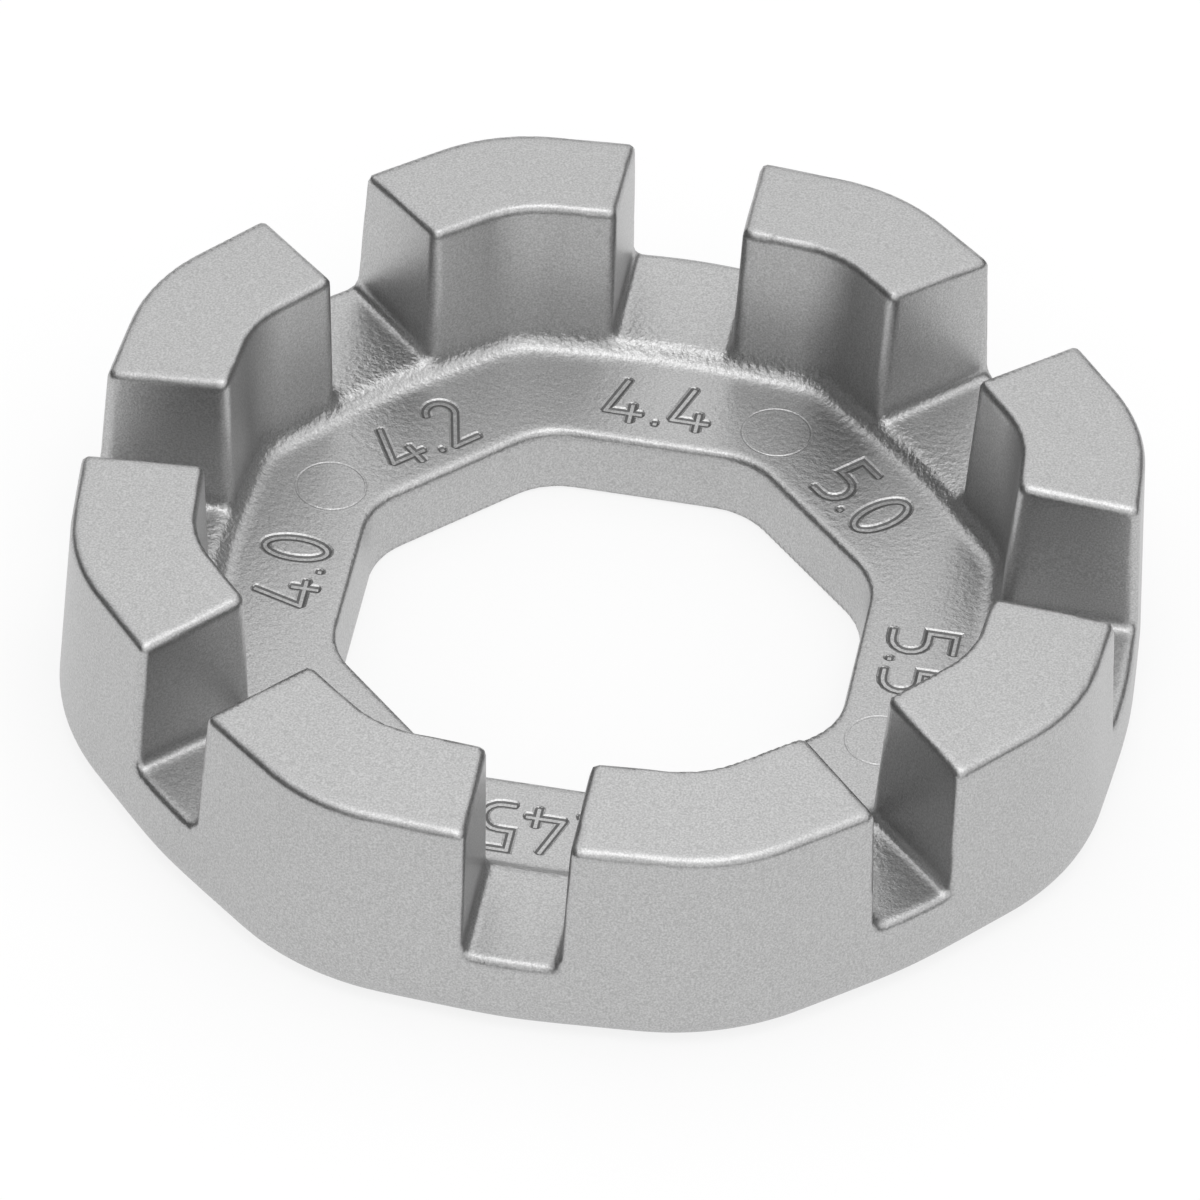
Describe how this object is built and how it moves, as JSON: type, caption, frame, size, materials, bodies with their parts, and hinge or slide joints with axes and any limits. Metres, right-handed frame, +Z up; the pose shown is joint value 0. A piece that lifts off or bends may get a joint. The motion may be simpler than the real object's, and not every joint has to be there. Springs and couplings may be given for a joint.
{
  "type": "ring spoke wrench",
  "caption": "Castellated octagonal ring wrench for spoke nipples, die-cast in one piece, with graded slots between jaws and an inner flange with an octagonal hole.",
  "frame": {"origin": "middle of the flat underside", "axes": "+Z up through the ring, from the underside to the jaw tops; +X out through the middle of the 5.5 mm slot; +Y out through the middle of the 4.4 mm slot"},
  "size_m": [0.0386, 0.0386, 0.009],
  "materials": {
    "cast_zinc": "satin, as cast"
  },
  "bodies": {
    "root": {"wrench_body": "cast_zinc"}
  },
  "joints": []
}
